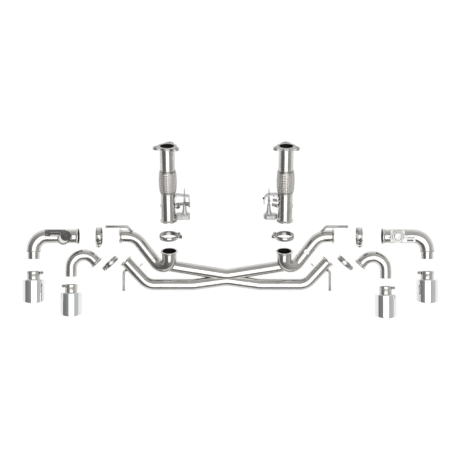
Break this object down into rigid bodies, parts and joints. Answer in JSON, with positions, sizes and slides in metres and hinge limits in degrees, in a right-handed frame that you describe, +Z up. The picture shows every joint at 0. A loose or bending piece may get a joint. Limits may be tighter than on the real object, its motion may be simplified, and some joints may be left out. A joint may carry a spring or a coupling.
{
  "type": "racing exhaust system",
  "caption": "Tubular exhaust system laid out as a kit: downpipes with valves, crossover centre section, outlet bends, band clamps and slash-cut tips.",
  "frame": {"origin": "midway between the two front hanger rods, on the centre plane and level with the tube centre lines", "axes": "+X to the right across the width, +Y forwards to the turbochargers, +Z up; the tips point along -Y"},
  "size_m": [2.1988, 0.9181, 0.3869],
  "materials": {
    "stainless": "satin",
    "polished_chrome": "mirror polished",
    "woven_braid": "woven wire",
    "cast_aluminium": "fine cast",
    "rod_steel": "satin",
    "bolt_steel": "dark zinc",
    "valve_steel": "heat-darkened"
  },
  "bodies": {
    "centre_section": {"crossover": "stainless", "collector_left": "stainless", "s_pipe_left": "stainless", "inner_pipe_left": "stainless", "hanger_front_left": "rod_steel", "hanger_rear_left": "rod_steel", "collector_right": "stainless", "s_pipe_right": "stainless", "inner_pipe_right": "stainless", "hanger_front_right": "rod_steel", "hanger_rear_right": "rod_steel"},
    "downpipe_left": {"lower_tube_left": "stainless", "flex_braid_left": "woven_braid", "upper_tube_left": "stainless", "front_flange_left": "stainless", "actuator_bracket_left": "cast_aluminium", "actuator_can_left": "cast_aluminium"},
    "throttle_left": {"throttle_left": "valve_steel"},
    "outer_elbow_left": {"outer_elbow_left": "stainless", "valve_bracket_left": "cast_aluminium", "valve_housing_left": "cast_aluminium"},
    "shut_off_left": {"shut_off_left": "valve_steel"},
    "j_bend_left": {"j_bend_left": "stainless"},
    "downpipe_clamp_left": {"downpipe_clamp_left_band": "stainless", "downpipe_clamp_left_t_bolt": "bolt_steel"},
    "outer_clamp_left": {"outer_clamp_left_band": "stainless", "outer_clamp_left_t_bolt": "bolt_steel"},
    "inner_clamp_left": {"inner_clamp_left_band": "stainless", "inner_clamp_left_t_bolt": "bolt_steel"},
    "outer_tip_left": {"outer_tip_left_sleeve": "stainless", "outer_tip_left_shell": "polished_chrome", "outer_tip_left_strap": "bolt_steel"},
    "inner_tip_left": {"inner_tip_left_sleeve": "stainless", "inner_tip_left_shell": "polished_chrome", "inner_tip_left_strap": "bolt_steel"},
    "downpipe_right": {"lower_tube_right": "stainless", "flex_braid_right": "woven_braid", "upper_tube_right": "stainless", "front_flange_right": "stainless", "actuator_bracket_right": "cast_aluminium", "actuator_can_right": "cast_aluminium"},
    "throttle_right": {"throttle_right": "valve_steel"},
    "outer_elbow_right": {"outer_elbow_right": "stainless", "valve_bracket_right": "cast_aluminium", "valve_housing_right": "cast_aluminium"},
    "shut_off_right": {"shut_off_right": "valve_steel"},
    "j_bend_right": {"j_bend_right": "stainless"},
    "downpipe_clamp_right": {"downpipe_clamp_right_band": "stainless", "downpipe_clamp_right_t_bolt": "bolt_steel"},
    "outer_clamp_right": {"outer_clamp_right_band": "stainless", "outer_clamp_right_t_bolt": "bolt_steel"},
    "inner_clamp_right": {"inner_clamp_right_band": "stainless", "inner_clamp_right_t_bolt": "bolt_steel"},
    "outer_tip_right": {"outer_tip_right_sleeve": "stainless", "outer_tip_right_shell": "polished_chrome", "outer_tip_right_strap": "bolt_steel"},
    "inner_tip_right": {"inner_tip_right_sleeve": "stainless", "inner_tip_right_shell": "polished_chrome", "inner_tip_right_strap": "bolt_steel"}
  },
  "joints": [
    {"name": "downpipe_left_slide", "type": "slide", "parent": "centre_section", "child": "downpipe_left", "axis": [0, -0.9272, -0.3746], "range_m": [0, 0.1695]},
    {"name": "downpipe_clamp_left_slide", "type": "slide", "parent": "centre_section", "child": "downpipe_clamp_left", "axis": [0, -0.9272, -0.3746], "range_m": [0, 0.083]},
    {"name": "throttle_left_turn", "type": "hinge", "parent": "downpipe_left", "child": "throttle_left", "pos_m": [-0.302, 0.1075, 0.15858], "axis": [1, 0, 0], "range_deg": [0, 85]},
    {"name": "outer_elbow_left_slide", "type": "slide", "parent": "centre_section", "child": "outer_elbow_left", "axis": [1, 0, 0], "range_m": [0, 0.2175]},
    {"name": "outer_clamp_left_slide", "type": "slide", "parent": "centre_section", "child": "outer_clamp_left", "axis": [1, 0, 0], "range_m": [0, 0.11]},
    {"name": "shut_off_left_turn", "type": "hinge", "parent": "outer_elbow_left", "child": "shut_off_left", "pos_m": [-0.849, -0.051, 0], "axis": [0, 0, 1], "range_deg": [0, 85]},
    {"name": "j_bend_left_slide", "type": "slide", "parent": "centre_section", "child": "j_bend_left", "axis": [0.9954, 0.0962, 0], "range_m": [0, 0.14945]},
    {"name": "inner_clamp_left_slide", "type": "slide", "parent": "centre_section", "child": "inner_clamp_left", "axis": [0.5381, 0.0684, 0.8401], "range_m": [0, 0.13699]},
    {"name": "outer_tip_left_slide", "type": "slide", "parent": "outer_elbow_left", "child": "outer_tip_left", "axis": [0, 1, 0], "range_m": [0, 0.1]},
    {"name": "inner_tip_left_slide", "type": "slide", "parent": "j_bend_left", "child": "inner_tip_left", "axis": [0, 1, 0], "range_m": [0, 0.078]},
    {"name": "downpipe_right_slide", "type": "slide", "parent": "centre_section", "child": "downpipe_right", "axis": [0, -0.9272, -0.3746], "range_m": [0, 0.1695]},
    {"name": "downpipe_clamp_right_slide", "type": "slide", "parent": "centre_section", "child": "downpipe_clamp_right", "axis": [0, -0.9272, -0.3746], "range_m": [0, 0.083]},
    {"name": "throttle_right_turn", "type": "hinge", "parent": "downpipe_right", "child": "throttle_right", "pos_m": [0.302, 0.1075, 0.15858], "axis": [1, 0, 0], "range_deg": [0, 85]},
    {"name": "outer_elbow_right_slide", "type": "slide", "parent": "centre_section", "child": "outer_elbow_right", "axis": [-1, 0, 0], "range_m": [0, 0.2555]},
    {"name": "outer_clamp_right_slide", "type": "slide", "parent": "centre_section", "child": "outer_clamp_right", "axis": [-1, 0, 0], "range_m": [0, 0.135]},
    {"name": "shut_off_right_turn", "type": "hinge", "parent": "outer_elbow_right", "child": "shut_off_right", "pos_m": [0.899, -0.051, 0], "axis": [0, 0, 1], "range_deg": [0, 85]},
    {"name": "j_bend_right_slide", "type": "slide", "parent": "centre_section", "child": "j_bend_right", "axis": [-0.9894, 0.1455, 0], "range_m": [0, 0.16754]},
    {"name": "inner_clamp_right_slide", "type": "slide", "parent": "centre_section", "child": "inner_clamp_right", "axis": [-0.5875, 0.0517, 0.8076], "range_m": [0, 0.1425]},
    {"name": "outer_tip_right_slide", "type": "slide", "parent": "outer_elbow_right", "child": "outer_tip_right", "axis": [0, 1, 0], "range_m": [0, 0.1]},
    {"name": "inner_tip_right_slide", "type": "slide", "parent": "j_bend_right", "child": "inner_tip_right", "axis": [0, 1, 0], "range_m": [0, 0.078]}
  ],
  "couplings": [
    {"joint": "downpipe_clamp_left_slide", "follows": "downpipe_left_slide", "ratio": 0.48909},
    {"joint": "outer_clamp_left_slide", "follows": "outer_elbow_left_slide", "ratio": 0.50529},
    {"joint": "j_bend_left_slide", "follows": "outer_elbow_left_slide", "ratio": 0.68667},
    {"joint": "inner_clamp_left_slide", "follows": "outer_elbow_left_slide", "ratio": 0.62937},
    {"joint": "downpipe_clamp_right_slide", "follows": "downpipe_right_slide", "ratio": 0.48909},
    {"joint": "outer_clamp_right_slide", "follows": "outer_elbow_right_slide", "ratio": 0.52798},
    {"joint": "j_bend_right_slide", "follows": "outer_elbow_right_slide", "ratio": 0.65535},
    {"joint": "inner_clamp_right_slide", "follows": "outer_elbow_right_slide", "ratio": 0.55734}
  ]
}
